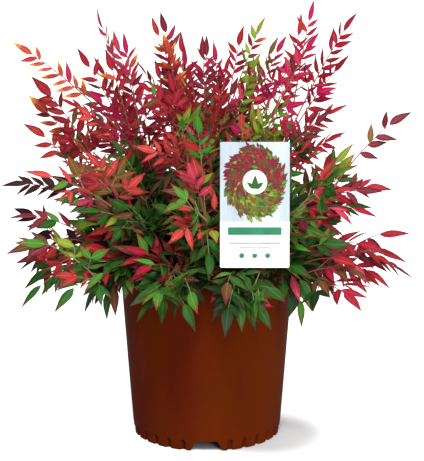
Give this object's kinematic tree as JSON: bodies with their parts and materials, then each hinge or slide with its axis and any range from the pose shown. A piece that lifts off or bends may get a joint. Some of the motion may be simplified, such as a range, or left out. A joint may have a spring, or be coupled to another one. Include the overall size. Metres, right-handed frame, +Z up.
{
  "type": "heavenly bamboo in a nursery pot",
  "caption": "Dense evergreen shrub with fans of narrow red, orange and green leaflets on a clump of canes, in a round brown nursery pot with a plain plant label",
  "frame": {"origin": "centre of the flat pad in the middle of the pot's underside, on which, with the foot ring, it stands", "axes": "+Z up along the pot's axis, -Y to the front where the label faces, +X to the right seen from the front"},
  "size_m": [0.5279, 0.5001, 0.541],
  "materials": {
    "pot": "moulded, satin",
    "soil": "moist bark mulch",
    "label": "printed card, satin",
    "cane": "rough bark",
    "foliage_top": "satin leaves",
    "foliage_upper": "satin leaves",
    "foliage_middle": "satin leaves",
    "foliage_skirt": "satin leaves"
  },
  "bodies": {
    "root": {"pot": "pot", "soil": "soil", "label": "label", "cane_top_1": "cane", "foliage_top_1": "foliage_top", "cane_top_2": "cane", "foliage_top_2": "foliage_top", "cane_top_3": "cane", "foliage_top_3": "foliage_top", "cane_upper_1": "cane", "foliage_upper_1": "foliage_upper", "cane_upper_2": "cane", "foliage_upper_2": "foliage_upper", "cane_upper_3": "cane", "foliage_upper_3": "foliage_upper", "cane_upper_4": "cane", "foliage_upper_4": "foliage_upper", "cane_upper_5": "cane", "foliage_upper_5": "foliage_upper", "cane_upper_6": "cane", "foliage_upper_6": "foliage_upper", "cane_upper_7": "cane", "foliage_upper_7": "foliage_upper", "cane_middle_1": "cane", "foliage_middle_1": "foliage_middle", "cane_middle_2": "cane", "foliage_middle_2": "foliage_middle", "cane_middle_3": "cane", "foliage_middle_3": "foliage_middle", "cane_middle_4": "cane", "foliage_middle_4": "foliage_middle", "cane_middle_5": "cane", "foliage_middle_5": "foliage_middle", "cane_middle_6": "cane", "foliage_middle_6": "foliage_middle", "cane_middle_7": "cane", "foliage_middle_7": "foliage_middle", "cane_middle_8": "cane", "foliage_middle_8": "foliage_middle", "cane_skirt_1": "cane", "foliage_skirt_1": "foliage_skirt", "cane_skirt_2": "cane", "foliage_skirt_2": "foliage_skirt", "cane_skirt_3": "cane", "foliage_skirt_3": "foliage_skirt", "cane_skirt_4": "cane", "foliage_skirt_4": "foliage_skirt", "cane_skirt_5": "cane", "foliage_skirt_5": "foliage_skirt", "cane_skirt_6": "cane", "foliage_skirt_6": "foliage_skirt", "cane_skirt_7": "cane", "foliage_skirt_7": "foliage_skirt", "cane_skirt_8": "cane", "foliage_skirt_8": "foliage_skirt", "cane_skirt_9": "cane", "foliage_skirt_9": "foliage_skirt", "cane_skirt_10": "cane", "foliage_skirt_10": "foliage_skirt"}
  },
  "joints": []
}
